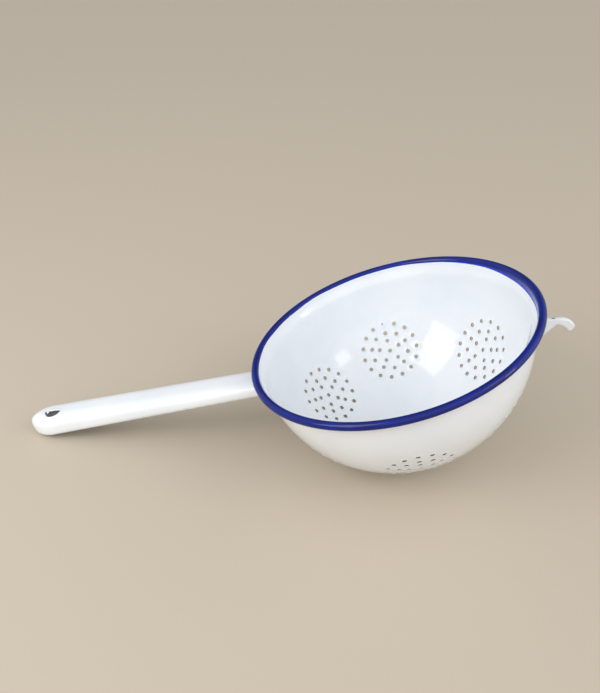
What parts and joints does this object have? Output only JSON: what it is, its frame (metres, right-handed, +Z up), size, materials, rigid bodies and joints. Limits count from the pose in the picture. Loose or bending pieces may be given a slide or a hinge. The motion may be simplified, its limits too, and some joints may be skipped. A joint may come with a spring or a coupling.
{
  "type": "enamel colander",
  "caption": "Round white enamelled steel colander with a blue rolled rim, groups of drain holes, a long pressed handle with a hanging eye and a small resting hook.",
  "frame": {"origin": "point where the bottom of the bowl touches the table, with the colander standing on its bowl and on the tip of its handle", "axes": "+Z up, +X towards the hook, -X towards the handle's tip"},
  "size_m": [0.4637, 0.24, 0.1508],
  "materials": {
    "white_enamel": "glossy fired enamel, slightly uneven, with thin grey places along the edges",
    "blue_enamel": "glossy fired enamel"
  },
  "bodies": {
    "root": {"bowl": "white_enamel", "rim_band": "blue_enamel", "handle": "white_enamel", "handle_welds": "white_enamel", "hook": "white_enamel", "hook_welds": "white_enamel"}
  },
  "joints": []
}
